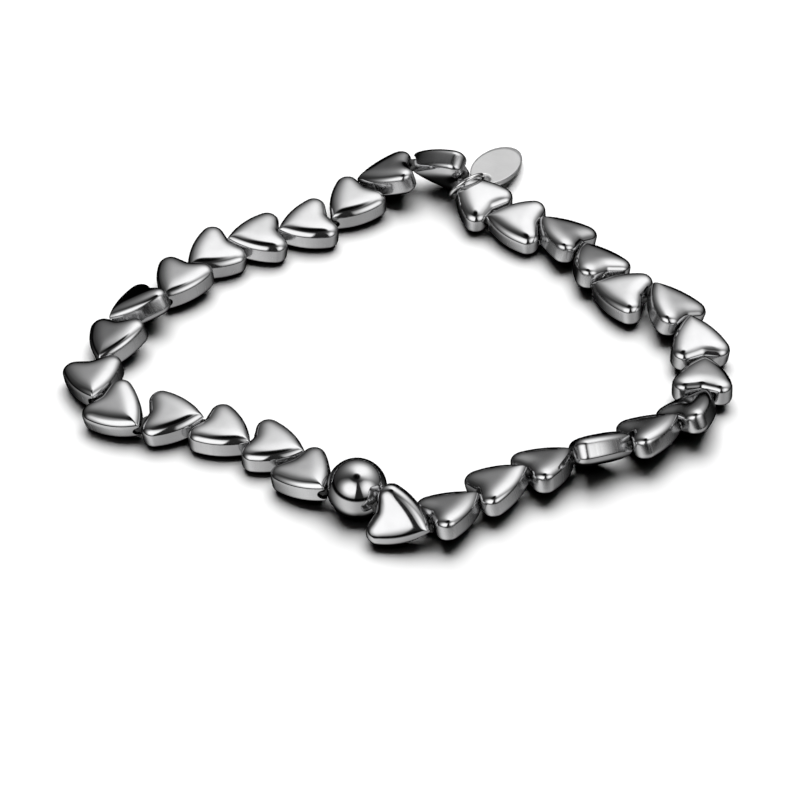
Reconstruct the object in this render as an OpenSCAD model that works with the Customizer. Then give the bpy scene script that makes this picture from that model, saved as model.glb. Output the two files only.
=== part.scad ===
// Stretch bracelet of polished heart beads with one round bead and a small tag.
// It lies on a flat surface. X is to the right, Y goes back, Z is up, all in millimetres.

/* [Heart bead] */
// Length of a heart from its lobes to its tip
heart_l = 6.0; // [5.6:0.1:6.4]
// Width across the two lobes
heart_w = 6.1; // [5.7:0.1:6.3]
// Thickness at the middle of the domed faces
heart_t = 3.0; // [2.6:0.1:3.4]
// Height of the upright side wall
wall_h = 1.5; // [1.2:0.1:1.8]
// Radius of each lobe
lobe_r = 1.05; // [0.9:0.05:1.3]
// Radius of the long flank from a lobe to the tip
flank_r = 7.8; // [7:0.1:9]
// Radius of the blunt tip
tip_r = 0.25; // [0.2:0.05:0.35]
// Depth of the notch between the lobes
notch_d = 0.65; // [0.5:0.05:0.8]
// Diameter of the hole from the notch to the tip
bore_d = 1.2; // [1:0.1:1.3]

/* [Round bead] */
// Diameter of the round bead
ball_d = 5.9; // [5.5:0.1:6.1]

/* [Elastic] */
// Thickness of the elastic
cord_d = 0.5; // [0.4:0.1:0.6]

/* [Jump ring] */
// Diameter of the ring, measured at the middle of its wire
ring_d = 3.9; // [3.7:0.1:4.1]
// Thickness of the ring's wire
wire_d = 0.45; // [0.4:0.05:0.5]

/* [Tag] */
// Length of the oval tag
tag_l = 9.0; // [8:0.1:9.4]
// Width of the oval tag
tag_w = 4.6; // [4:0.1:5]
// Thickness of the tag
tag_t = 0.5; // [0.4:0.05:0.6]
// Diameter of the tag's hole
tag_hole_d = 1.5; // [1.4:0.05:1.5]

/* [Hidden] */
// How each heart lies, in order from the round bead, against the clock seen from above.
// HEADING is where the tip points, 0 being +X and 90 being +Y.
// LEAN is the roll about the hole and DIP how far the tip points down, in degrees.
// NEXT is the direction and STEP the distance to the next bead's middle.
// RISE is how far the heart is held off the surface by its neighbours.
HEADING = 0;
LEAN = 1;
DIP = 2;
NEXT = 3;
STEP = 4;
RISE = 5;
HEARTS = [
    [342, 52, 10, 17, 5.25, 0.1],
    [31, -16, -1, 36, 5.75, 0.2],
    [27, -14, -10, 33, 5.55, 0.2],
    [34, -16, 5, 17, 5.45, 0.1],
    [10, -46, -5, 25, 5.7, 0],
    [26, -23, -3, 39, 5.35, 0.4],
    [49, -30, 4, 76, 5.3, 0.1],
    [83, -1, 8, 95, 5.45, 0],
    [102, 4, -6, 118, 5.3, 0.1],
    [127, 16, -8, 155, 5.5, 0.2],
    [158, -3, 4, 116, 5.3, 0.2],
    [117, 13, 7, 130, 5.25, 0],
    [140, 16, -2, 157, 5.25, 0],
    [167, -10, 1, 136, 5.3, 0],
    [132, -6, -8, 134, 5.65, 0.2],
    [162, 64, -2, 189, 5.65, 0],
    [188, 14, 16, 226, 5.35, 0.5],
    [232, 0, 6, 214, 5.75, 0],
    [203, -4, 1, 201, 5.5, 0],
    [196, -2, -3, 212, 5.3, 0],
    [222, -6, 2, 234, 5.3, 0],
    [246, 7, 1, 223, 5.8, 0.2],
    [220, 30, 7, 248, 5.5, 0],
    [251, 18, 3, 254, 5.9, 0],
    [274, 10, -4, 303, 5.25, 0],
    [313, 14, 2, 353, 5.55, 0],
    [349, 6, -6, 339, 5.4, 0],
    [324, 0, -1, 338, 5.55, 0],
    [337, 1, -2, 305, 5.45, 0],
    [303, 5, -7, 336, 5.2, 0.2],
];
// Middle of the first heart on the surface
FIRST = [0.45, -27.7];
COUNT = len(HEARTS);

// The jump ring hangs round the elastic between this heart and the next
RING_HEART = 15;
// Its middle from that heart's, seen from above, and its middle's height
RING_FROM_HEART = [-1.05, 1.69];
RING_UP = 2.6;
// The direction of its level diameter and how far it leans over
RING_HEADING = 35;
RING_LEAN = 27;
// The middle of the tag's hole from the ring's middle, seen from above
TAG_FROM_RING = [1.72, 1.4];
// The direction that the tag lies in and how far its free end points down
TAG_HEADING = 65;
TAG_DIP = 13;
// From the middle of the hole to the tag's near end
TAG_EDGE = 0.95;

// Steps along the lobe, the flank and the tip of a heart
LOBE_STEPS = 6;
FLANK_STEPS = 3;
TIP_STEPS = 2;
// Sides of a hole, a round bead or ring, a ring's wire, the elastic and the tag's outline
HOLE_SIDES = 48;
ROUND_SIDES = 64;
WIRE_SIDES = 32;
CORD_SIDES = 8;
OVAL_SIDES = 48;
// Each ring of the dome is the outline drawn in by SCALE, at SHARE of the dome's height
DOME = [[1, 0], [0.88, 0.62], [0.66, 1]];

function dir(a) = [cos(a), sin(a)];
function angle_of(v) = atan2(v[1], v[0]);
function mirrored(points) = [for (i = [len(points) - 2 : -1 : 1]) [points[i][0], -points[i][1]]];
function arc(middle, r, from, to, steps) =
    [for (i = [0 : steps]) middle + r * dir(from + (to - from) * i / steps)];
function tail(points) = [for (i = [1 : len(points) - 1]) points[i]];

// Heart outline: X runs from the notch to the tip and the origin is at half length.
// A straight side leaves the notch and meets the lobe, the flank arc touches lobe and tip.
notch = [-heart_l / 2 + notch_d, 0];
lobe = [-heart_l / 2 + lobe_r, heart_w / 2 - lobe_r];
tip = [heart_l / 2 - tip_r, 0];
// The flank's centre lies at flank_r - lobe_r from the lobe's and flank_r - tip_r from the tip's
across = tip - lobe;
reach = (pow(flank_r - lobe_r, 2) - pow(flank_r - tip_r, 2) + across * across) / (2 * norm(across));
drop = sqrt(pow(flank_r - lobe_r, 2) - reach * reach);
unit = across / norm(across);
flank = lobe + unit * reach + drop * [unit[1], -unit[0]];
side_a = angle_of(lobe - notch) + asin(lobe_r / norm(lobe - notch));
lobe_a = angle_of(lobe - flank);
tip_a = angle_of(tip - flank);
half_outline = concat(
    [notch],
    arc(lobe, lobe_r, side_a + 90, lobe_a, LOBE_STEPS),
    tail(arc(flank, flank_r, lobe_a, tip_a, FLANK_STEPS)),
    tail(arc(tip, tip_r, tip_a, 0, TIP_STEPS))
);
outline = concat(half_outline, mirrored(half_outline));
SIDES = len(outline);

// Rings of the whole heart, from the lower face's middle to the upper one's
function dome_ring(k, up) =
    [for (p = outline) [p[0] * DOME[k][0], p[1] * DOME[k][0],
                        up * (wall_h + (heart_t - wall_h) * DOME[k][1]) / 2]];
rings = concat(
    [for (k = [len(DOME) - 1 : -1 : 0]) dome_ring(k, -1)],
    [for (k = [0 : len(DOME) - 1]) dome_ring(k, 1)]
);
heart_points = [for (r = rings) for (p = r) p];

// Faces of a stack of rings with the same number of points: two caps and the sides between
function band(r, n) =
    [for (i = [0 : n - 1]) for (f = [
        [r * n + i, r * n + (i + 1) % n, (r + 1) * n + (i + 1) % n],
        [r * n + i, (r + 1) * n + (i + 1) % n, (r + 1) * n + i]]) f];
function bands(count, n) = [for (r = [0 : count - 2]) for (f = band(r, n)) f];

// Turning a point as rotate([lean, dip, heading]) does
function leaned(p, a) = [p[0], p[1] * cos(a) - p[2] * sin(a), p[1] * sin(a) + p[2] * cos(a)];
function dipped(p, a) = [p[0] * cos(a) + p[2] * sin(a), p[1], p[2] * cos(a) - p[0] * sin(a)];
function headed(p, a) = [p[0] * cos(a) - p[1] * sin(a), p[0] * sin(a) + p[1] * cos(a), p[2]];
function turned(p, row) = headed(dipped(leaned(p, row[LEAN]), row[DIP]), row[HEADING]);

// Height at which a leaning heart's lowest point is on the surface
function lift(row) = -min([for (p = heart_points) turned(p, row)[2]]);
// Middle of heart k, counted from 0, and of the round bead after the last heart
function spot(k) = k == 0 ? FIRST : spot(k - 1) + HEARTS[k - 1][STEP] * dir(HEARTS[k - 1][NEXT]);
spots = [for (k = [0 : COUNT]) spot(k)];
middles = [for (k = [0 : COUNT - 1])
    [spots[k][0], spots[k][1], lift(HEARTS[k]) + HEARTS[k][RISE]]];
ball_at = [spots[COUNT][0], spots[COUNT][1], ball_d / 2];
function in_heart(k, p) = middles[k] + turned(p, HEARTS[k]);

// The elastic's line: a point at each end of a heart's hole, before the notch and in the tip,
// shifted towards the neighbour by no more than the play in the hole.
CLEARANCE = 0.05;
BEFORE_NOTCH = 0.2;
play = (bore_d - cord_d) / 2 - CLEARANCE;
inlet = [notch[0] - BEFORE_NOTCH, 0, 0];
outlet = [tip[0], 0, 0];
function eased(p, goal, line) =
    let (d = goal - p, side = d - (d * line) * line, shift = norm(side))
    shift == 0 ? p : p + side * min(1, play / shift);
function axis(k) = turned([1, 0, 0], HEARTS[k]);
function near(k) =
    let (goal = k == 0 ? ball_at : in_heart(k - 1, outlet))
    eased(in_heart(k, inlet), goal, axis(k));
function far(k) =
    let (goal = k == COUNT - 1 ? ball_at : in_heart(k + 1, inlet))
    eased(in_heart(k, outlet), goal, axis(k));
last_end = far(COUNT - 1);
first_end = near(0);
ball_axis = (first_end - last_end) / norm(first_end - last_end);
route = concat(
    [for (k = [0 : COUNT - 1]) each [near(k), far(k)]],
    [ball_at - ball_d / 2 * ball_axis, ball_at + ball_d / 2 * ball_axis]
);
function along(i) =
    let (n = len(route), d = route[(i + 1) % n] - route[(i + n - 1) % n])
    d / norm(d);
function cord_ring(i) =
    let (t = along(i), side = cross(t, [0, 0, 1]), u = side / norm(side), v = cross(u, t))
    [for (j = [0 : CORD_SIDES - 1])
        route[i] + cord_d / 2 * (cos(360 * j / CORD_SIDES) * u + sin(360 * j / CORD_SIDES) * v)];
cord_points = [for (i = [0 : len(route) - 1]) each cord_ring(i)];
function wrapped(i, j) = (i % len(route)) * CORD_SIDES + j % CORD_SIDES;
cord_faces = [for (i = [0 : len(route) - 1]) for (j = [0 : CORD_SIDES - 1]) each [
    [wrapped(i, j), wrapped(i, j + 1), wrapped(i + 1, j + 1)],
    [wrapped(i, j), wrapped(i + 1, j + 1), wrapped(i + 1, j)]]];

ring_spot = spots[RING_HEART - 1] + RING_FROM_HEART;
ring_at = [ring_spot[0], ring_spot[1], RING_UP];
tag_hole_at = ring_spot + TAG_FROM_RING;

function two_digits(n) = n < 10 ? str("0", n) : str(n);
function heart_name(k) = str("heart_", two_digits(k + 1));

// One heart bead, lying flat with its middle at the origin and its tip towards +X
module heart() {
    n = SIDES;
    top = (len(rings) - 1) * n;
    difference() {
        polyhedron(
            points = heart_points,
            faces = concat(
                [[for (i = [n - 1 : -1 : 0]) i]],
                bands(len(rings), n),
                [[for (i = [0 : n - 1]) top + i]]
            )
        );
        rotate([0, 90, 0]) cylinder(d = bore_d, h = 2 * heart_l, center = true, $fn = HOLE_SIDES);
    }
}

module heart_bead(k) {
    color("dimgray") translate(middles[k])
        rotate([HEARTS[k][LEAN], HEARTS[k][DIP], HEARTS[k][HEADING]]) heart();
}

module ball_bead() {
    color("dimgray") translate(ball_at) difference() {
        sphere(d = ball_d, $fn = ROUND_SIDES);
        rotate([0, acos(ball_axis[2]), angle_of(ball_axis)])
            cylinder(d = bore_d, h = 2 * ball_d, center = true, $fn = HOLE_SIDES);
    }
}

module elastic_cord() {
    color("black") polyhedron(points = cord_points, faces = cord_faces);
}

module jump_ring() {
    color("silver") translate(ring_at) rotate([90 + RING_LEAN, 0, RING_HEADING])
        rotate_extrude($fn = ROUND_SIDES) translate([ring_d / 2, 0]) circle(d = wire_d, $fn = WIRE_SIDES);
}

// The tag hangs on the ring at one end and rests on the surface at the other
tag_run = tag_l - TAG_EDGE;
tag_rise = tag_run * sin(TAG_DIP) + tag_t / 2 * cos(TAG_DIP);
module tag() {
    color("gainsboro") translate([tag_hole_at[0], tag_hole_at[1], tag_rise])
        rotate([0, TAG_DIP, TAG_HEADING]) difference() {
            translate([tag_l / 2 - TAG_EDGE, 0, -tag_t / 2])
                linear_extrude(tag_t) oval(tag_l, tag_w);
            cylinder(d = tag_hole_d, h = 2 * tag_t, center = true, $fn = HOLE_SIDES);
        }
}

// An ellipse of straight steps
module oval(l, w) {
    polygon([for (i = [0 : OVAL_SIDES - 1])
        let (a = 360 * i / OVAL_SIDES) [l / 2 * cos(a), w / 2 * sin(a)]]);
}

for (k = [0 : COUNT - 1]) heart_bead(k);
ball_bead();
elastic_cord();
jump_ring();
tag();
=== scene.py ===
"""Stretch bracelet of polished hematite heart beads, with one round bead and a small silver tag."""
from math import radians

import bpy
import numpy as np
from bpy.props import FloatProperty, FloatVectorProperty, PointerProperty
from bpy.types import Operator, Panel, PropertyGroup
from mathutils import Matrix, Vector


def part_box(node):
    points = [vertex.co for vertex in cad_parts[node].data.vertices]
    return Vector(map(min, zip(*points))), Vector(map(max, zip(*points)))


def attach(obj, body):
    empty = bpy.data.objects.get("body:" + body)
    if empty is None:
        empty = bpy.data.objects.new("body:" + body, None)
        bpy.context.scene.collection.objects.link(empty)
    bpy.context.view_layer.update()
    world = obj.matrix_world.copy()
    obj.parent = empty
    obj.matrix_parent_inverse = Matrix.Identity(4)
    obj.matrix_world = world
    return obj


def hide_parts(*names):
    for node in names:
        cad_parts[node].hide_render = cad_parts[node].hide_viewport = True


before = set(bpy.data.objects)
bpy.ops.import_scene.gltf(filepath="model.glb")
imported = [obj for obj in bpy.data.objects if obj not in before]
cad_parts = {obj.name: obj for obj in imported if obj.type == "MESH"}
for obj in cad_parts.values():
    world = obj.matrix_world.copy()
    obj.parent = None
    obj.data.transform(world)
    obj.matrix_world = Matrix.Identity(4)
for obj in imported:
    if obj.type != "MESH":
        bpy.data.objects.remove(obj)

bl_info = {
    "name": "Heart Bead Bracelet",
    "version": (1, 0, 0),
    "blender": (4, 5, 0),
    "location": "View3D > Sidebar > Bracelet",
    "description": "Stretch bracelet of polished heart beads with a round bead and an oval tag",
    "category": "Add Mesh",
}

MM = 0.001
BODY = "root"
HEARTS = sorted(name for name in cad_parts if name.startswith("heart_"))


# Reading a solid's place from the frame

def node_corners(node):
    """Corners of a node's triangles, as an array of triangles by three corners by x, y and z."""
    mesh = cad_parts[node].data
    mesh.calc_loop_triangles()
    points = np.empty(len(mesh.vertices) * 3)
    mesh.vertices.foreach_get("co", points)
    corners = np.empty(len(mesh.loop_triangles) * 3, dtype=np.int32)
    mesh.loop_triangles.foreach_get("vertices", corners)
    return points.reshape(-1, 3)[corners].reshape(-1, 3, 3)


def own_axes(node, order):
    """Middle, own axes and size of a solid that has a length, a width and a thickness.

    Each triangle and the mean corner make a tetrahedron. Its volume is a sixth of the product
    a . (b x c) of its corners, its middle is a quarter of their sum, and its spread is a
    twentieth of the volume times (s s + a a + b b + c c), where s is the sum. The axes are the
    eigenvectors of the whole solid's spread, and order picks x, y and z from the smallest spread
    to the largest. x points away from the heavier end and z upwards.
    """
    corners = node_corners(node)
    start = corners.reshape(-1, 3).mean(0)
    a, b, c = np.moveaxis(corners - start, 1, 0)
    volume = np.einsum("ij,ij->i", a, np.cross(b, c)) / 6
    total = volume.sum()
    middle = ((a + b + c) * volume[:, None]).sum(0) / 4 / total
    spread = sum((p * volume[:, None]).T @ p for p in (a + b + c, a, b, c)) / 20 / total
    spread -= np.outer(middle, middle)
    axes = np.linalg.eigh(spread)[1].T[list(order)]
    along = (corners.reshape(-1, 3) - start) @ axes.T
    low, high = along.min(0), along.max(0)
    if (axes @ middle)[0] > (low + high)[0] / 2:
        axes[0] *= -1
    if axes[2, 2] < 0:
        axes[2] *= -1
    axes[1] = np.cross(axes[2], axes[0])
    along = (corners.reshape(-1, 3) - start) @ axes.T
    low, high = along.min(0), along.max(0)
    return start + (low + high) / 2 @ axes, axes, high - low


# The order for a solid whose spreads, from the smallest to the largest, are its thickness, length
# and width, and for one where they are its thickness, width and length
THIN_LENGTH_WIDTH = (1, 2, 0)
THIN_WIDTH_LENGTH = (2, 1, 0)
PLACES = {name: own_axes(name, THIN_LENGTH_WIDTH) for name in HEARTS}
HEART_SIZE = PLACES[HEARTS[0]][2]


# Settings that a user would change

class HeartSettings(PropertyGroup):
    """Form of one heart bead, whose length, width and thickness are the frame's."""

    wall: FloatProperty(
        name="Side Wall", description="Height of the upright side wall",
        default=1.5 * MM, unit="LENGTH")
    lobe: FloatProperty(
        name="Lobe Radius", description="Radius of each lobe", default=1.25 * MM, unit="LENGTH")
    flank: FloatProperty(
        name="Flank Radius", description="Radius of the long side from a lobe to the tip",
        default=7.8 * MM, unit="LENGTH")
    tip: FloatProperty(
        name="Tip Radius", description="Radius of the blunt tip", default=0.25 * MM, unit="LENGTH")
    notch: FloatProperty(
        name="Notch Depth", description="Depth of the notch between the lobes",
        default=0.4 * MM, unit="LENGTH")
    bore: FloatProperty(
        name="Hole Diameter", description="Diameter of the hole from the notch to the tip",
        default=1.2 * MM, unit="LENGTH")
    edge: FloatProperty(
        name="Edge Rounding", description="Rounding where the wall meets the domed face",
        default=0.13 * MM, unit="LENGTH")
    shoulder: FloatProperty(
        name="Shoulder", description="Distance from the edge in which the dome does most of its rise",
        default=0.3 * MM, unit="LENGTH")
    crown: FloatProperty(
        name="Crown", description="Share of the dome's rise that is spread over the whole face",
        default=0.5, min=0, max=1, subtype="FACTOR")


class FinishSettings(PropertyGroup):
    """Colours and gloss of the finishes."""

    hematite: FloatVectorProperty(
        name="Hematite", description="Mirror colour of the polished hematite",
        subtype="COLOR", size=3, min=0, max=1, default=(0.60, 0.60, 0.605))
    hematite_roughness: FloatProperty(
        name="Hematite Roughness", description="Blur of the polished faces", default=0.07,
        min=0, max=1, subtype="FACTOR")
    hematite_rim: FloatProperty(
        name="Hematite Rim", description="Mirror strength of the polished faces seen at a slant",
        default=0.12, min=0, max=1, subtype="FACTOR")
    ring: FloatVectorProperty(
        name="Ring", description="Colour of the jump ring's wire",
        subtype="COLOR", size=3, min=0, max=1, default=(0.72, 0.72, 0.72))
    tag: FloatVectorProperty(
        name="Tag", description="Colour of the silver tag",
        subtype="COLOR", size=3, min=0, max=1, default=(0.84, 0.84, 0.84))
    elastic: FloatVectorProperty(
        name="Elastic", description="Colour of the elastic",
        subtype="COLOR", size=3, min=0, max=1, default=(0.03, 0.03, 0.03))


class StageSettings(PropertyGroup):
    """Floor, light and camera."""

    floor: FloatVectorProperty(
        name="Floor", description="Colour of the floor",
        subtype="COLOR", size=3, min=0, max=1, default=(0.85, 0.85, 0.85))
    elevation: FloatProperty(
        name="Camera Elevation", description="Angle of the camera above the floor",
        default=radians(44), subtype="ANGLE")
    distance: FloatProperty(
        name="Camera Distance", description="Distance from the camera to the point it looks at",
        default=409 * MM, unit="LENGTH")
    key_light: FloatProperty(
        name="Key Light", description="Power of the light behind the bracelet",
        default=18.0, min=0, unit="POWER")
    fill_light: FloatProperty(
        name="Fill Light", description="Power of the light straight above",
        default=0.3, min=0, unit="POWER")


class BraceletSettings(PropertyGroup):
    """All the settings of the bracelet."""

    heart: PointerProperty(type=HeartSettings)
    finish: PointerProperty(type=FinishSettings)
    stage: PointerProperty(type=StageSettings)


# Making meshes from grids of points

def loop_faces(rows, columns, closed_rows=False):
    """Four-sided faces of a grid whose columns close, and whose rows close too if asked."""
    row = np.arange(rows if closed_rows else rows - 1)[:, None]
    column = np.arange(columns)[None, :]
    after, beside = (row + 1) % rows, (column + 1) % columns
    corners = [row * columns + column, row * columns + beside,
               after * columns + beside, after * columns + column]
    return np.stack([np.broadcast_to(c, (len(row), columns)) for c in corners], -1).reshape(-1, 4)


def cap_faces(start, columns, pole, upwards):
    """Three-sided faces from the row of points that begins at start to a pole."""
    column = np.arange(columns)
    beside = (column + 1) % columns
    around = (start + column, start + beside) if upwards else (start + beside, start + column)
    return np.stack([*around, np.full(columns, pole)], -1)


def mesh_of(name, points, faces):
    """A smooth-shaded mesh from an array of points and lists of face arrays."""
    mesh = bpy.data.meshes.new(name)
    mesh.from_pydata(points.reshape(-1, 3).tolist(), [], [f for part in faces for f in part.tolist()])
    mesh.shade_smooth()
    mesh.update()
    return mesh


def piece_of(name, mesh, material, nodes):
    """The finished piece, which stands for its nodes and rides on the one body."""
    piece = bpy.data.objects.new(name, mesh)
    bpy.context.scene.collection.objects.link(piece)
    mesh.materials.append(material)
    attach(piece, BODY)
    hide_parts(*nodes)
    return piece


def point_values(mesh):
    """The mesh's points as an array."""
    points = np.empty(len(mesh.vertices) * 3, dtype=np.float32)
    mesh.vertices.foreach_get("co", points)
    return points.reshape(-1, 3)


def write_attribute(mesh, name, kind, values):
    """Stores one value or vector for each point of the mesh."""
    attribute = mesh.attributes.new(name, kind, "POINT")
    field = "vector" if kind == "FLOAT_VECTOR" else "value"
    attribute.data.foreach_set(field, np.asarray(values, dtype=np.float32).ravel())


# The heart bead

# Steps on each part of half the outline, and sides of the hole
LOBE_STEPS = 28
FLANK_STEPS = 26
TIP_STEPS = 8
SIDE_STEPS = 8
BORE_SIDES = 40
# Samples on each stretch of the outline for the soft distance, and the parts it is worked out in
DISTANCE_STEPS = 16
DISTANCE_PARTS = 12
# Rows of the grid on the wall, the rounded edge, the shoulder and the face, and how far from the
# sharp edge's place the edge and the shoulder reach, as multiples of their own settings
WALL_ROWS = 4
EDGE_ROWS = 8
SHOULDER_ROWS = 12
FACE_ROWS = 12
EDGE_REACH = 2.5
SHOULDER_REACH = 2.0
# Where the rows draw in to, as a share of the length, and how far towards it the last row goes
HEART_CENTRE = -0.06
LAST_ROW = 1 - 1 / FACE_ROWS ** 2
# Nearer to the outline than this, the soft distance passes into the plain one
NEAR_EDGE = 0.12 * MM
# Edges that turn by more than this are shaded sharp
SHARP_ANGLE = radians(38)
# Half the height in which the wall's ground finish passes into the polish
WALL_BLEND = 0.05 * MM
# How far the finish's pattern moves from one heart to the next, so that no two look the same
PATTERN_SHIFT = np.array([13.7, 5.3, 8.9]) * MM


def arc(middle, radius, start, end, steps):
    """Points on an arc: its middle plus its radius times the cosine and sine of each angle."""
    angle = np.linspace(start, end, steps + 1)
    return middle + radius * np.stack([np.cos(angle), np.sin(angle)], -1)


def heart_outline(heart):
    """Outline of the heart, seen from above, from the notch round by the tip.

    A straight side leaves the notch and meets the lobe's circle. The flank is an arc that holds
    the lobe's and the tip's circles, so its middle lies at its radius less theirs from both.
    """
    length, width = HEART_SIZE[:2]
    notch = np.array([heart.notch - length / 2, 0])
    lobe = np.array([heart.lobe - length / 2, width / 2 - heart.lobe])
    tip = np.array([length / 2 - heart.tip, 0])
    across = tip - lobe
    span = np.linalg.norm(across)
    to_lobe, to_tip = heart.flank - heart.lobe, heart.flank - heart.tip
    reach = (to_lobe ** 2 - to_tip ** 2 + span ** 2) / (2 * span)
    drop = (to_lobe ** 2 - reach ** 2) ** 0.5
    step = across / span
    flank = lobe + step * reach + drop * np.array([step[1], -step[0]])

    def bearing(v):
        return np.arctan2(v[1], v[0])

    side = bearing(lobe - notch) + np.arcsin(heart.lobe / np.linalg.norm(lobe - notch))
    lobe_end, tip_start = bearing(lobe - flank), bearing(tip - flank)
    lobe_arc = arc(lobe, heart.lobe, side + np.pi / 2, lobe_end, LOBE_STEPS)
    share = np.linspace(0, 1, SIDE_STEPS, endpoint=False)[:, None]
    half = np.concatenate([
        notch + share * (lobe_arc[0] - notch),
        lobe_arc,
        arc(flank, heart.flank, lobe_end, tip_start, FLANK_STEPS)[1:],
        arc(tip, heart.tip, tip_start, 0, TIP_STEPS)[1:]])
    return np.concatenate([half, half[-2:0:-1] * [1, -1]])


def soft_distance(points, outline):
    """Smooth distance of inner points from a closed outline.

    Over the outline, three quarters of the sum of length / distance^5 is the distance^-4 that a
    straight edge would give. Its -1/4 power grows like the distance near an edge and has no
    creases inside.
    """
    after = np.roll(outline, -1, 0)
    share = (np.arange(DISTANCE_STEPS) + 0.5) / DISTANCE_STEPS
    samples = (outline[:, None] + share[:, None] * (after - outline)[:, None]).reshape(-1, 2)
    lengths = np.repeat(np.linalg.norm(after - outline, axis=1) / DISTANCE_STEPS, DISTANCE_STEPS)
    total = np.empty(len(points))
    for part in np.array_split(np.arange(len(points)), DISTANCE_PARTS):
        gap = points[part, None] - samples
        total[part] = (lengths / np.einsum("ijk,ijk->ij", gap, gap) ** 2.5).sum(1)
    return (0.75 * total) ** -0.25


def heart_profile(heart):
    """Position of each row of the grid along the wall and face, 0 being the sharp edge's place.

    Negative values go down the wall, positive ones inwards over the face.
    """
    end = min(HEART_SIZE[:2]) / 2
    edge, shoulder = EDGE_REACH * heart.edge, SHOULDER_REACH * heart.shoulder
    return np.concatenate([
        np.linspace(-heart.wall / 2, -edge, WALL_ROWS, endpoint=False),
        np.linspace(-edge, edge, EDGE_ROWS, endpoint=False),
        np.linspace(edge, shoulder, SHOULDER_ROWS, endpoint=False),
        np.linspace(shoulder, end, FACE_ROWS)])


def heart_points(heart):
    """Upper half of the bead as rows of points, from the middle of the wall to near the pole.

    A row at position s lies (s + sqrt(s^2 + e^2)) / 2 inwards from the outline and falls
    (sqrt(s^2 + e^2) - s) / 2 below the face, which rounds the edge e. The face stands above the
    wall by the dome's height times a mix of 1 - exp(-distance / shoulder), with the soft
    distance, and of the crown, which is 1 - (1 - distance / longest distance)^2.
    """
    outline = heart_outline(heart)
    side = np.roll(outline, -1, 0) - np.roll(outline, 1, 0)
    normal = np.stack([-side[:, 1], side[:, 0]], -1) / np.linalg.norm(side, axis=1)[:, None]
    centre = np.array([HEART_CENTRE * HEART_SIZE[0], 0])
    facing = np.einsum("ij,ij->i", outline - centre, normal)
    row = heart_profile(heart)
    root = np.sqrt(row ** 2 + heart.edge ** 2)
    inward, fall = (row + root) / 2, (root - row) / 2
    share = np.clip((row - row[0]) / (row[-1] - row[0]), 0, 1)[:, None] ** 2
    drawn = inward[:, None] / facing * (1 - share) + share * np.clip(inward / inward[-1], 0, 1)[:, None]
    drawn = np.clip(drawn, 0, LAST_ROW)
    flat = outline + (centre - outline) * drawn[..., None]
    distance = soft_distance(flat.reshape(-1, 2), outline).reshape(drawn.shape)
    near = np.clip(inward / NEAR_EDGE, 0, 1)[:, None]
    distance = near * distance + (1 - near) * inward[:, None]
    crown = 1 - (1 - distance / distance.max()) ** 2
    rise = (1 - heart.crown) * (1 - np.exp(-distance / heart.shoulder)) + heart.crown * crown
    dome = (HEART_SIZE[2] - heart.wall) / 2
    height = heart.wall / 2 - fall[:, None] + dome * rise / rise.max()
    return np.concatenate([flat, height[..., None]], -1)


def heart_mesh(heart):
    """One drilled heart bead at the origin, its tip towards +X: both faces, the wall and the hole."""
    upper = heart_points(heart)
    lower = upper[:0:-1] * [1, 1, -1]
    rows = np.concatenate([lower, upper])
    count, columns = rows.shape[:2]
    centre = [HEART_CENTRE * HEART_SIZE[0], 0]
    top = upper[-1, :, 2].max()
    points = np.concatenate([rows.reshape(-1, 3), [[*centre, -top], [*centre, top]]])
    last = count * columns
    faces = [loop_faces(count, columns)[:, ::-1], cap_faces(0, columns, last, True),
             cap_faces((count - 1) * columns, columns, last + 1, False)]
    whole = bpy.data.objects.new("heart", mesh_of("heart", points, faces))
    drill = bpy.data.objects.new("drill", drill_mesh(heart.bore / 2, HEART_SIZE[0]))
    for thing in (whole, drill):
        bpy.context.scene.collection.objects.link(thing)
    cut = whole.modifiers.new("hole", "BOOLEAN")
    cut.operation = "DIFFERENCE"
    cut.solver = "EXACT"
    cut.object = drill
    bpy.context.view_layer.update()
    drilled = bpy.data.meshes.new_from_object(
        whole.evaluated_get(bpy.context.evaluated_depsgraph_get()))
    for thing in (whole, drill):
        bpy.data.objects.remove(thing)
    drilled.shade_smooth()
    drilled.set_sharp_from_angle(angle=SHARP_ANGLE)
    if len(drilled.polygons) < len(faces[0]):
        raise RuntimeError("the heart bead's hole could not be cut")
    return drilled


def drill_mesh(radius, reach):
    """A closed cylinder along X, of that radius, from -reach to reach."""
    angle = np.linspace(0, 2 * np.pi, BORE_SIDES, endpoint=False)
    ring = np.stack([np.zeros_like(angle), radius * np.cos(angle), radius * np.sin(angle)], -1)
    ends = np.array([[-reach, 0, 0], [reach, 0, 0]])
    points = np.concatenate([ring + ends[0], ring + ends[1], ends])
    faces = [loop_faces(2, BORE_SIDES)[:, ::-1], cap_faces(0, BORE_SIDES, 2 * BORE_SIDES, False)[:, ::-1],
             cap_faces(BORE_SIDES, BORE_SIDES, 2 * BORE_SIDES + 1, True)]
    return mesh_of("drill", points, faces)


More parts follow.
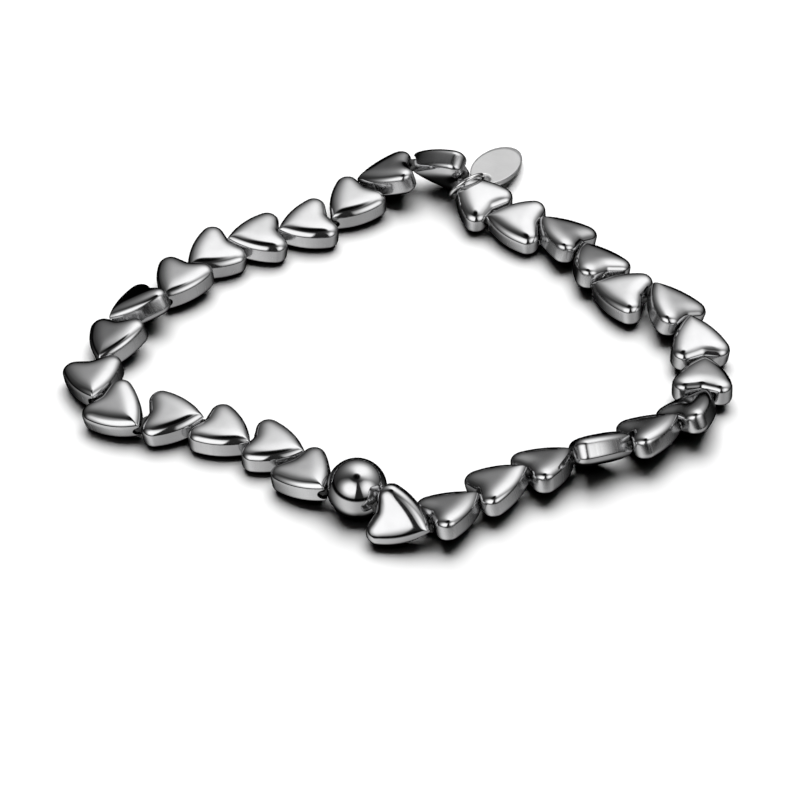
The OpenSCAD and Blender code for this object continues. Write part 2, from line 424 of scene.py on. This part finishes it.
class BRACELET_OT_hearts(Operator):
    """Make the thirty heart beads where the frame's solids are"""

    bl_idname = "bracelet.hearts"
    bl_label = "Heart Beads"

    def execute(self, context):
        settings = context.scene.bracelet
        master = heart_mesh(settings.heart)
        local = point_values(master)
        material = hematite(settings.finish)
        wall = settings.heart.wall / 2
        on_wall = np.clip((wall + WALL_BLEND - np.abs(local[:, 2])) / (2 * WALL_BLEND), 0, 1)
        for index, name in enumerate(HEARTS):
            middle, axes, _ = PLACES[name]
            mesh = master.copy()
            mesh.name = name
            mesh.vertices.foreach_set("co", (middle + local @ axes).astype(np.float32).ravel())
            write_attribute(mesh, "bead_place", "FLOAT_VECTOR", local + PATTERN_SHIFT * (index + 1))
            write_attribute(mesh, "wall", "FLOAT", on_wall)
            mesh.update()
            piece_of(f"polished_{name}", mesh, material, [name])
        bpy.data.meshes.remove(master)
        return {"FINISHED"}


# The round bead

BALL_COLUMNS = 96
BALL_ROWS = 64
TUNNEL_ROWS = 6
# The elastic bends between two hearts at this distance before the notch
BEFORE_NOTCH = 0.2 * MM


def turned_ring(profile, columns, middle, axis):
    """A closed profile of (along, out) points carried round an axis: middle + along + out turned."""
    axis = axis / np.linalg.norm(axis)
    side = np.cross(axis, [0, 0, 1])
    side /= np.linalg.norm(side)
    up = np.cross(side, axis)
    angle = np.linspace(0, 2 * np.pi, columns, endpoint=False)
    out = np.cos(angle)[:, None] * side + np.sin(angle)[:, None] * up
    return middle + profile[:, None, :1] * axis + profile[:, None, 1:] * out


def heart_end(name, along):
    """A point on the line of a heart's hole, along being its distance from the middle."""
    middle, axes, _ = PLACES[name]
    return middle + along * axes[0]


def cord_ends(heart):
    """Where the elastic comes up to each heart before the notch, and where it leaves the tip."""
    inlet = heart.notch - HEART_SIZE[0] / 2 - BEFORE_NOTCH
    outlet = HEART_SIZE[0] / 2 - heart.tip
    return [(heart_end(name, inlet), heart_end(name, outlet)) for name in HEARTS]


def ball_place():
    """Middle and radius of the round bead, from its node's box."""
    low, high = (np.array(corner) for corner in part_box("ball_bead"))
    return (low + high) / 2, (high - low).max() / 2


class BRACELET_OT_ball(Operator):
    """Make the round bead, drilled along the elastic"""

    bl_idname = "bracelet.ball"
    bl_label = "Round Bead"

    def execute(self, context):
        settings = context.scene.bracelet
        middle, radius = ball_place()
        bore = settings.heart.bore / 2
        ends = cord_ends(settings.heart)
        mouth = np.arcsin(bore / radius)
        angle = np.linspace(mouth, np.pi - mouth, BALL_ROWS)
        sphere = radius * np.stack([-np.cos(angle), np.sin(angle)], -1)
        reach = radius * np.cos(mouth)
        tunnel = np.linspace([reach, bore], [-reach, bore], TUNNEL_ROWS + 2)[1:-1]
        rows = turned_ring(np.concatenate([sphere, tunnel]), BALL_COLUMNS, middle,
                           ends[0][0] - ends[-1][1])
        mesh = mesh_of("ball", rows, [loop_faces(*rows.shape[:2], closed_rows=True)])
        mesh.set_sharp_from_angle(angle=SHARP_ANGLE)
        write_attribute(mesh, "bead_place", "FLOAT_VECTOR", rows.reshape(-1, 3) - middle)
        write_attribute(mesh, "wall", "FLOAT", np.zeros(len(mesh.vertices)))
        piece_of("polished_ball", mesh, hematite(settings.finish), ["ball_bead"])
        return {"FINISHED"}


# The elastic

CORD_RADIUS = 0.25 * MM
CORD_COLUMNS = 16
CORD_STEPS = 5


def smooth_loop(knots, steps):
    """A closed curve through the knots: on each stretch a cubic whose slope at a knot is half the
    way from the knot before it to the one after it."""
    before, after, beyond = np.roll(knots, 1, 0), np.roll(knots, -1, 0), np.roll(knots, -2, 0)
    t = np.linspace(0, 1, steps, endpoint=False)[:, None, None]
    start, end = (after - before) / 2, (beyond - knots) / 2
    curve = ((2 * t ** 3 - 3 * t ** 2 + 1) * knots + (t ** 3 - 2 * t ** 2 + t) * start
             + (3 * t ** 2 - 2 * t ** 3) * after + (t ** 3 - t ** 2) * end)
    return np.swapaxes(curve, 0, 1).reshape(-1, 3)


def tube_rows(line, radius, columns):
    """Rings of points round a closed line, each square to the way from its last point to its next."""
    way = np.roll(line, -1, 0) - np.roll(line, 1, 0)
    way /= np.linalg.norm(way, axis=1)[:, None]
    side = np.cross(way, [0, 0, 1])
    side /= np.linalg.norm(side, axis=1)[:, None]
    up = np.cross(side, way)
    angle = np.linspace(0, 2 * np.pi, columns, endpoint=False)[None, :, None]
    return line[:, None] + radius * (np.cos(angle) * side[:, None] + np.sin(angle) * up[:, None])


class BRACELET_OT_elastic(Operator):
    """Make the elastic that the beads are threaded on"""

    bl_idname = "bracelet.elastic"
    bl_label = "Elastic"

    def execute(self, context):
        settings = context.scene.bracelet
        ends = cord_ends(settings.heart)
        middle, radius = ball_place()
        axis = ends[0][0] - ends[-1][1]
        axis = axis / np.linalg.norm(axis) * radius
        knots = np.array([point for pair in ends for point in pair] + [middle - axis, middle + axis])
        rows = tube_rows(smooth_loop(knots, CORD_STEPS), CORD_RADIUS, CORD_COLUMNS)
        mesh = mesh_of("elastic", rows, [loop_faces(*rows.shape[:2], closed_rows=True)])
        piece_of("elastic", mesh, elastic_rubber(settings.finish), ["elastic_cord"])
        return {"FINISHED"}


# The jump ring

RING_SECTION = 30
RING_COLUMNS = 120


class BRACELET_OT_jump_ring(Operator):
    """Make the jump ring round the elastic"""

    bl_idname = "bracelet.jump_ring"
    bl_label = "Jump Ring"

    def execute(self, context):
        middle, axes, size = own_axes("jump_ring", THIN_LENGTH_WIDTH)
        wire = size[2] / 2
        across = size[:2].max() / 2 - wire
        angle = np.linspace(0, 2 * np.pi, RING_SECTION, endpoint=False)
        profile = np.stack([wire * np.sin(angle), across + wire * np.cos(angle)], -1)
        rows = turned_ring(profile, RING_COLUMNS, middle, axes[2])
        mesh = mesh_of("ring", rows, [loop_faces(*rows.shape[:2], closed_rows=True)])
        piece_of("jump_ring_wire", mesh, ring_wire(context.scene.bracelet.finish), ["jump_ring"])
        return {"FINISHED"}


# The tag

TAG_COLUMNS = 128
TAG_EDGE_ROWS = 9
TAG_FACE_ROWS = 14
# Rounding of both edges, radius of the hole, and distance of its middle from the tag's end
TAG_ROUNDING = 0.16 * MM
TAG_HOLE = 0.75 * MM
TAG_HOLE_EDGE = 0.95 * MM


def tag_rows(length, width, thickness):
    """Rows of the plate's closed section, carried round the hole.

    A point goes from the hole's circle to the ellipse of the rim, along the line from the hole's
    middle, and both edges are rounded by a quarter circle in the section.
    """
    angle = np.linspace(0, 2 * np.pi, TAG_COLUMNS, endpoint=False)
    rim = np.stack([length / 2 * np.cos(angle), width / 2 * np.sin(angle)], -1)
    hole_at = np.array([length / 2 - TAG_HOLE_EDGE, 0])
    way = rim - hole_at
    reach = np.linalg.norm(way, axis=1)
    way = way / reach[:, None]
    turn = np.linspace(0, np.pi / 2, TAG_EDGE_ROWS)
    round_in = (TAG_ROUNDING * (1 - np.sin(turn)))[:, None]
    face = np.linspace(0, 1, TAG_FACE_ROWS + 2)[1:-1]
    start, end = TAG_HOLE + TAG_ROUNDING, reach - TAG_ROUNDING
    out = np.concatenate([
        np.broadcast_to(TAG_HOLE + round_in, (len(turn), TAG_COLUMNS)),
        start + face[:, None] * (end - start),
        reach - round_in[::-1]])
    drop = TAG_ROUNDING * (1 - np.cos(turn))
    height = thickness / 2 - np.concatenate([drop[::-1], np.zeros(len(face)), drop])
    return hole_at, way, out, height


class BRACELET_OT_tag(Operator):
    """Make the oval tag on the jump ring"""

    bl_idname = "bracelet.tag"
    bl_label = "Tag"

    def execute(self, context):
        middle, axes, size = own_axes("tag", THIN_WIDTH_LENGTH)
        hole_at, way, out, height = tag_rows(*size)
        flat = hole_at + way * out[..., None]
        upper = np.concatenate([flat, np.broadcast_to(height[:, None, None], (*out.shape, 1))], -1)
        rows = np.concatenate([upper, upper[::-1] * [1, 1, -1]])
        local = rows.reshape(-1, 3)
        mesh = mesh_of("tag", middle + local @ axes, [loop_faces(*rows.shape[:2], closed_rows=True)])
        write_attribute(mesh, "tag_place", "FLOAT_VECTOR", local)
        piece_of("silver_tag", mesh, tag_silver(context.scene.bracelet.finish), ["tag"])
        return {"FINISHED"}


# Finishes

# Sockets of a Mix node, which share their names: the two colours and their mix, and the two values
MIX_COLOURS, MIX_COLOUR = (6, 7), 2
MIX_VALUES = (2, 3)
# The part of a noise's range that most of its values lie in
NOISE_RANGE = (0.3, 0.7)
# The hairlines' pattern is this much coarser along Z, as a share, which draws the lines out
HAIRLINE_DRAW = 0.06
# The lowest and highest tone of a polished metal, as shares of its colour
METAL_TONES = (0.94, 1.04)
# For each metal: the scales of the clouds and the lines and the lines' share, and the bumps' height
HEMATITE_PATTERN, HEMATITE_BUMP = (350.0, 3000.0, 0.05), 0.0004 * MM
RING_PATTERN, RING_BUMP = (600.0, 4000.0, 0.3), 0.001 * MM
TAG_PATTERN, TAG_BUMP = (300.0, 3000.0, 1.0), 0.002 * MM
# The lowest and highest roughness, the first as shares of the polished faces' setting
POLISH_RANGE = (0.8, 1.3)
WALL_ROUGHNESS = (0.12, 0.3)
RING_ROUGHNESS = (0.08, 0.2)
TAG_ROUGHNESS = (0.34, 0.46)
ELASTIC_ROUGHNESS = (0.45, 0.65)
# Satin silver is a little less of a mirror than bare metal
TAG_METALLIC = 0.8
# Scale of the elastic's weave, and its lowest and highest tone
WEAVE_SCALE = 4000.0
WEAVE_TONES = (0.7, 1.4)


def new_material(name):
    """A new material, its nodes, its links and its Principled shader."""
    material = bpy.data.materials.new(name)
    material.use_nodes = True
    nodes, links = material.node_tree.nodes, material.node_tree.links
    return material, nodes, links, nodes["Principled BSDF"]


def put(nodes, kind, **values):
    """Adds a node and sets its properties, or its inputs where a name starts with a capital."""
    node = nodes.new(kind)
    for name, value in values.items():
        if name[0].isupper():
            node.inputs[name.replace("_", " ")].default_value = value
        else:
            setattr(node, name, value)
    return node


def math_node(nodes, links, operation, *values):
    """A Math node fed with sockets or numbers."""
    node = put(nodes, "ShaderNodeMath", operation=operation)
    for socket, value in zip(node.inputs, values):
        if isinstance(value, (int, float)):
            socket.default_value = value
        else:
            links.new(value, socket)
    return node.outputs[0]


POLISH_INPUTS = ("Cloud Scale", "Line Scale", "Line Share")


def polish_group():
    """Node group of a polished surface: slow cloudiness and fine hairlines, from a place vector.

    It puts out a Tone of 0 to 1 that drifts slowly, Hairlines of 0 to 1 drawn out along Z, and a
    Height, the Tone plus the Line Share of the Hairlines.
    """
    if "polish" in bpy.data.node_groups:
        return bpy.data.node_groups["polish"]
    group = bpy.data.node_groups.new("polish", "ShaderNodeTree")
    sockets = group.interface
    sockets.new_socket("Place", in_out="INPUT", socket_type="NodeSocketVector")
    for name, value in zip(POLISH_INPUTS, HEMATITE_PATTERN):
        sockets.new_socket(name, in_out="INPUT", socket_type="NodeSocketFloat").default_value = value
    for name in ("Tone", "Hairlines", "Height"):
        sockets.new_socket(name, in_out="OUTPUT", socket_type="NodeSocketFloat")
    nodes, links = group.nodes, group.links
    start, end = nodes.new("NodeGroupInput"), nodes.new("NodeGroupOutput")
    cloud = put(nodes, "ShaderNodeTexNoise", Detail=3.0, Roughness=0.55)
    links.new(start.outputs["Place"], cloud.inputs["Vector"])
    links.new(start.outputs["Cloud Scale"], cloud.inputs["Scale"])
    drawn = put(nodes, "ShaderNodeVectorMath", operation="MULTIPLY")
    drawn.inputs[1].default_value = (1, 1, HAIRLINE_DRAW)
    links.new(start.outputs["Place"], drawn.inputs[0])
    lines = put(nodes, "ShaderNodeTexNoise", Detail=4.0, Roughness=0.7)
    links.new(drawn.outputs[0], lines.inputs["Vector"])
    links.new(start.outputs["Line Scale"], lines.inputs["Scale"])
    share = math_node(nodes, links, "MULTIPLY", lines.outputs["Fac"], start.outputs["Line Share"])
    height = math_node(nodes, links, "ADD", cloud.outputs["Fac"], share)
    links.new(cloud.outputs["Fac"], end.inputs["Tone"])
    links.new(lines.outputs["Fac"], end.inputs["Hairlines"])
    links.new(height, end.inputs["Height"])
    return group


def ranged(nodes, links, value, low, high):
    """Maps a noise's value to a range from low to high, without going past them."""
    node = put(nodes, "ShaderNodeMapRange", clamp=True)
    links.new(value, node.inputs["Value"])
    node.inputs["From Min"].default_value, node.inputs["From Max"].default_value = NOISE_RANGE
    node.inputs["To Min"].default_value, node.inputs["To Max"].default_value = low, high
    return node.outputs["Result"]


def shade(colour, share):
    """The colour times a share, as four numbers."""
    return (*(min(1.0, c * share) for c in colour), 1.0)


def toned(nodes, links, value, colour, low, high):
    """A colour that goes from low to high times itself as the value goes from 0 to 1."""
    mix = put(nodes, "ShaderNodeMix", data_type="RGBA")
    links.new(value, mix.inputs["Factor"])
    for socket, share in zip(MIX_COLOURS, (low, high)):
        mix.inputs[socket].default_value = shade(colour, share)
    return mix.outputs[MIX_COLOUR]


def polished_metal(name, colour, place, roughness, pattern, bump_height):
    """A metallic finish whose tone, roughness and height come from the polish group.

    The group reads the attribute named place. Its Tone goes to the colour, its Hairlines to the
    roughness and its Height to the bump.
    """
    material, nodes, links, shader = new_material(name)
    shader.inputs["Metallic"].default_value = 1.0
    spot = put(nodes, "ShaderNodeAttribute", attribute_name=place)
    polish = nodes.new("ShaderNodeGroup")
    polish.node_tree = polish_group()
    links.new(spot.outputs["Vector"], polish.inputs["Place"])
    for socket, value in zip(POLISH_INPUTS, pattern):
        polish.inputs[socket].default_value = value
    tone = ranged(nodes, links, polish.outputs["Tone"], 0.0, 1.0)
    links.new(toned(nodes, links, tone, colour, *METAL_TONES), shader.inputs["Base Color"])
    links.new(ranged(nodes, links, polish.outputs["Hairlines"], *roughness), shader.inputs["Roughness"])
    bump = put(nodes, "ShaderNodeBump", Strength=1.0, Distance=bump_height)
    links.new(polish.outputs["Height"], bump.inputs["Height"])
    links.new(bump.outputs["Normal"], shader.inputs["Normal"])
    return material, nodes, links, shader


def hematite(finish):
    """Polished hematite: a dark mirror, duller and finely ground on the upright walls."""
    name = "mirror_hematite"
    if name in bpy.data.materials:
        return bpy.data.materials[name]
    roughness = [finish.hematite_roughness * share for share in POLISH_RANGE]
    material, nodes, links, shader = polished_metal(
        name, finish.hematite, "bead_place", roughness, HEMATITE_PATTERN, HEMATITE_BUMP)
    rim = finish.hematite_rim
    shader.inputs["Specular Tint"].default_value = (rim, rim, rim, 1)
    wall = put(nodes, "ShaderNodeAttribute", attribute_name="wall")
    polish = next(n for n in nodes if n.type == "GROUP")
    polished = shader.inputs["Roughness"].links[0].from_socket
    hairlined = ranged(nodes, links, polish.outputs["Hairlines"], *WALL_ROUGHNESS)
    ground = put(nodes, "ShaderNodeMix", data_type="FLOAT")
    links.new(wall.outputs["Fac"], ground.inputs["Factor"])
    for source, socket in zip((polished, hairlined), MIX_VALUES):
        links.new(source, ground.inputs[socket])
    links.new(ground.outputs[0], shader.inputs["Roughness"])
    return material


def ring_wire(finish):
    """Bright drawn wire."""
    return polished_metal("ring_wire", finish.ring, "position", RING_ROUGHNESS, RING_PATTERN,
                          RING_BUMP)[0]


def tag_silver(finish):
    """Pale satin silver with a fine grain."""
    material, _, _, shader = polished_metal(
        "tag_silver", finish.tag, "tag_place", TAG_ROUGHNESS, TAG_PATTERN, TAG_BUMP)
    shader.inputs["Metallic"].default_value = TAG_METALLIC
    return material


def elastic_rubber(finish):
    """Dark elastic with a faint woven roughness."""
    material, nodes, links, shader = new_material("elastic_rubber")
    place = nodes.new("ShaderNodeTexCoord")
    weave = put(nodes, "ShaderNodeTexNoise", Scale=WEAVE_SCALE, Detail=2.0)
    links.new(place.outputs["Object"], weave.inputs["Vector"])
    links.new(toned(nodes, links, weave.outputs["Fac"], finish.elastic, *WEAVE_TONES),
              shader.inputs["Base Color"])
    links.new(ranged(nodes, links, weave.outputs["Fac"], *ELASTIC_ROUGHNESS), shader.inputs["Roughness"])
    return material


# Floor, light and camera

FLOOR_HALF = 3.0
FLOOR_DROP = 0.01 * MM
# The point in the middle of the photograph, the photograph's scale there, and its side in pixels
LOOK_AT = Vector((0.25, -8.32, 0)) * MM
PIXELS_PER_MM = 9.98
PICTURE = 800
CLIP_NEAR, CLIP_FAR = 10 * MM, 20.0
# Each lamp's place and side
KEY_LIGHT_AT, KEY_LIGHT_SIDE = Vector((0.04, 0.32, 0.94)), 0.95
FILL_LIGHT_AT, FILL_LIGHT_SIDE = Vector((0, 0, 0.9)), 1.2
# Each soft box of the surroundings, in degrees: its light, the middle and spread of its bell round
# the bracelet and the middle and spread of its bell upwards
BACK_BOX = (1.75, 150, 65, 66, 42)
LEFT_BOX = (2.1, -30, 40, 36, 27)
RIGHT_BOX = (1.5, 52, 34, 35, 27)
# Light that all the back has besides its box
BACK_GLOW = 0.05
# The height and softness of the lower edge of all the boxes and of the upper edges, in degrees
HORIZON = (3, 6)
BACK_TOP = (78, 10)
FRONT_TOP = (66, 14)
# The dark gap between the two front boxes: its middle in degrees, its half width at the horizon,
# how much of that it loses for each degree of height, and the softness of its two sides
GAP_AT, GAP_HALF, GAP_SLOPE = 8.0, radians(16), 0.12
GAP_LEFT_SOFT, GAP_RIGHT_SOFT = 5, 7
# The lit table below the horizon, which the walls mirror: the light, middle and spread of its left
# and right side, and the height and softness of its upper and lower edge
TABLE_LEFT, TABLE_RIGHT = (0.85, -40, 55), (0.5, 60, 50)
TABLE_TOP, TABLE_BOTTOM = (-10, 8), (-75, 40)
# The most light in one direction, how softly the boxes level off below it, and the least light
BOX_MOST, BOX_BLEND = 1.3, 0.7
BOX_LEAST = 0.01
STUDIO_CONTRAST, STUDIO_STRENGTH = 1.4, 1.12


def make_floor(stage):
    """A wide pale floor just under the beads, left out of their reflections."""
    half = FLOOR_HALF
    corners = np.array([[-half, -half, 0], [half, -half, 0], [half, half, 0], [-half, half, 0]])
    mesh = mesh_of("floor", corners - [0, 0, FLOOR_DROP], [np.array([[0, 1, 2, 3]])])
    floor = bpy.data.objects.new("floor", mesh)
    bpy.context.scene.collection.objects.link(floor)
    material, _, _, shader = new_material("floor_white")
    shader.inputs["Base Color"].default_value = (*stage.floor, 1)
    shader.inputs["Roughness"].default_value = 1.0
    shader.inputs["Specular IOR Level"].default_value = 0.0
    mesh.materials.append(material)
    floor.visible_glossy = False


def make_camera(stage):
    """A camera at the photographed angle, whose lens gives the photographed scale."""
    away = Vector((0, -np.cos(stage.elevation), np.sin(stage.elevation)))
    camera = bpy.data.objects.new("camera", bpy.data.cameras.new("camera"))
    bpy.context.scene.collection.objects.link(camera)
    camera.location = LOOK_AT + stage.distance * away
    camera.rotation_mode = "QUATERNION"
    camera.rotation_quaternion = (-away).to_track_quat("-Z", "Y")
    focal_pixels = PIXELS_PER_MM / MM * stage.distance
    camera.data.lens = focal_pixels / PICTURE * camera.data.sensor_width
    camera.data.clip_start, camera.data.clip_end = CLIP_NEAR, CLIP_FAR
    bpy.context.scene.camera = camera


def angle_nodes(nodes, links):
    """The azimuth from the camera's side, + to the right, and the elevation of a world direction."""
    place = nodes.new("ShaderNodeTexCoord")
    unit = put(nodes, "ShaderNodeVectorMath", operation="NORMALIZE")
    links.new(place.outputs["Generated"], unit.inputs[0])
    parts = nodes.new("ShaderNodeSeparateXYZ")
    links.new(unit.outputs[0], parts.inputs[0])
    front = math_node(nodes, links, "MULTIPLY", parts.outputs["Y"], -1.0)
    azimuth = math_node(nodes, links, "ARCTAN2", parts.outputs["X"], front)
    return azimuth, math_node(nodes, links, "ARCSINE", parts.outputs["Z"])


def bell(nodes, links, angle, middle, spread):
    """exp(-((angle - middle) / spread)^2), with the angle's difference taken round the circle."""
    shifted = math_node(nodes, links, "SUBTRACT", angle, radians(middle))
    wrapped = math_node(nodes, links, "WRAP", shifted, np.pi, -np.pi)
    share = math_node(nodes, links, "DIVIDE", wrapped, radians(spread))
    square = math_node(nodes, links, "MULTIPLY", share, share)
    return math_node(nodes, links, "EXPONENT", math_node(nodes, links, "MULTIPLY", square, -1.0))


def step_up(nodes, links, angle, at, soft):
    """0 below an angle and 1 above it, in a smooth step that is soft degrees wide."""
    node = put(nodes, "ShaderNodeMapRange", interpolation_type="SMOOTHSTEP")
    links.new(angle, node.inputs["Value"])
    node.inputs["From Min"].default_value = radians(at - soft / 2)
    node.inputs["From Max"].default_value = radians(at + soft / 2)
    return node.outputs["Result"]


def product(nodes, links, *values):
    """All the values multiplied."""
    result = values[0]
    for value in values[1:]:
        result = math_node(nodes, links, "MULTIPLY", result, value)
    return result


def make_surroundings():
    """Soft boxes round the bracelet, as bells of azimuth and elevation with straight cut edges.

    The light in a direction is the larger of the back's and the front's, plus the table's, levelled
    off at the top and raised to the contrast. The camera itself sees plain white, and the floor is
    lit by the lamps alone, because rays that have bounced off it don't see the boxes.
    """
    world = bpy.data.worlds.new("studio")
    bpy.context.scene.world = world
    world.use_nodes = True
    nodes, links = world.node_tree.nodes, world.node_tree.links
    background = nodes["Background"]
    azimuth, elevation = angle_nodes(nodes, links)

    def maths(operation, *values):
        return math_node(nodes, links, operation, *values)

    def rising(angle, at, soft):
        return step_up(nodes, links, angle, at, soft)

    def falling(angle, at, soft):
        return maths("SUBTRACT", 1.0, rising(angle, at, soft))

    def side_light(light, middle, spread):
        return maths("MULTIPLY", light, bell(nodes, links, azimuth, middle, spread))

    def soft_box(light, middle, spread, up_middle, up_spread):
        upwards = bell(nodes, links, elevation, up_middle, up_spread)
        return maths("MULTIPLY", side_light(light, middle, spread), upwards)

    above = rising(elevation, *HORIZON)
    front_top = falling(elevation, *FRONT_TOP)
    gap = maths("SUBTRACT", GAP_HALF, maths("MULTIPLY", elevation, GAP_SLOPE))
    left_of_gap = falling(maths("ADD", azimuth, gap), GAP_AT, GAP_LEFT_SOFT)
    right_of_gap = rising(maths("SUBTRACT", azimuth, gap), GAP_AT, GAP_RIGHT_SOFT)
    back = product(nodes, links, maths("ADD", soft_box(*BACK_BOX), BACK_GLOW),
                   falling(elevation, *BACK_TOP), above)
    left = product(nodes, links, soft_box(*LEFT_BOX), left_of_gap, front_top, above)
    right = product(nodes, links, soft_box(*RIGHT_BOX), right_of_gap, front_top, above)
    table = product(nodes, links, maths("ADD", side_light(*TABLE_LEFT), side_light(*TABLE_RIGHT)),
                    falling(elevation, *TABLE_TOP), rising(elevation, *TABLE_BOTTOM))
    total = maths("ADD", maths("MAXIMUM", back, maths("ADD", left, right)), table)
    levelled = maths("SMOOTH_MIN", total, BOX_MOST, BOX_BLEND)
    contrasted = maths("POWER", maths("ADD", levelled, BOX_LEAST), STUDIO_CONTRAST)
    seen = nodes.new("ShaderNodeLightPath")
    unbounced = maths("SUBTRACT", 1.0, maths("MINIMUM", seen.outputs["Diffuse Depth"], 1.0))
    strength = product(nodes, links, contrasted, STUDIO_STRENGTH, unbounced)
    links.new(strength, background.inputs["Strength"])
    background.inputs["Color"].default_value = (1, 1, 1, 1)
    pale = put(nodes, "ShaderNodeBackground", Color=(1, 1, 1, 1), Strength=1.0)
    mix = nodes.new("ShaderNodeMixShader")
    links.new(seen.outputs["Is Camera Ray"], mix.inputs["Fac"])
    links.new(background.outputs[0], mix.inputs[1])
    links.new(pale.outputs[0], mix.inputs[2])
    links.new(mix.outputs[0], nodes["World Output"].inputs["Surface"])
    world.cycles_visibility.diffuse = False


def make_lamp(name, place, side, power):
    """A square lamp that points at the bracelet and lights the floor, but isn't mirrored."""
    lamp = bpy.data.lights.new(name, "AREA")
    lamp.energy = power
    lamp.size = side
    light = bpy.data.objects.new(name, lamp)
    bpy.context.scene.collection.objects.link(light)
    light.location = place
    light.rotation_mode = "QUATERNION"
    light.rotation_quaternion = (-place).to_track_quat("-Z", "Y")
    light.visible_glossy = False
    light.visible_camera = False


class BRACELET_OT_stage(Operator):
    """Make the pale floor, the soft studio light and the camera"""

    bl_idname = "bracelet.stage"
    bl_label = "Stage"

    def execute(self, context):
        stage = context.scene.bracelet.stage
        make_camera(stage)
        make_floor(stage)
        make_surroundings()
        make_lamp("key_light", KEY_LIGHT_AT, KEY_LIGHT_SIDE, stage.key_light)
        make_lamp("fill_light", FILL_LIGHT_AT, FILL_LIGHT_SIDE, stage.fill_light)
        context.scene.view_settings.view_transform = "Standard"
        return {"FINISHED"}


class BRACELET_PT_sidebar(Panel):
    """The steps of the bracelet, in the sidebar of the 3D view"""

    bl_idname = "BRACELET_PT_sidebar"
    bl_label = "Heart Bead Bracelet"
    bl_space_type = "VIEW_3D"
    bl_region_type = "UI"
    bl_category = "Bracelet"

    def draw(self, context):
        for step in STEPS:
            self.layout.operator(step.bl_idname)
        settings = context.scene.bracelet
        for group in (settings.heart, settings.finish, settings.stage):
            box = self.layout.box()
            for name in group.__annotations__:
                box.prop(group, name)


STEPS = (BRACELET_OT_stage, BRACELET_OT_hearts, BRACELET_OT_ball, BRACELET_OT_elastic,
         BRACELET_OT_jump_ring, BRACELET_OT_tag)
CLASSES = (HeartSettings, FinishSettings, StageSettings, BraceletSettings, *STEPS,
           BRACELET_PT_sidebar)


def register():
    """Registers the classes and gives each scene the bracelet's settings."""
    for cls in CLASSES:
        bpy.utils.register_class(cls)
    bpy.types.Scene.bracelet = PointerProperty(type=BraceletSettings)


def unregister():
    """Takes the settings and the classes away again."""
    del bpy.types.Scene.bracelet
    for cls in reversed(CLASSES):
        bpy.utils.unregister_class(cls)


def main():
    """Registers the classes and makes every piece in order."""
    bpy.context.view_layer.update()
    register()
    for step in STEPS:
        group, name = step.bl_idname.split(".")
        getattr(getattr(bpy.ops, group), name)()


if __name__ == "__main__":
    main()
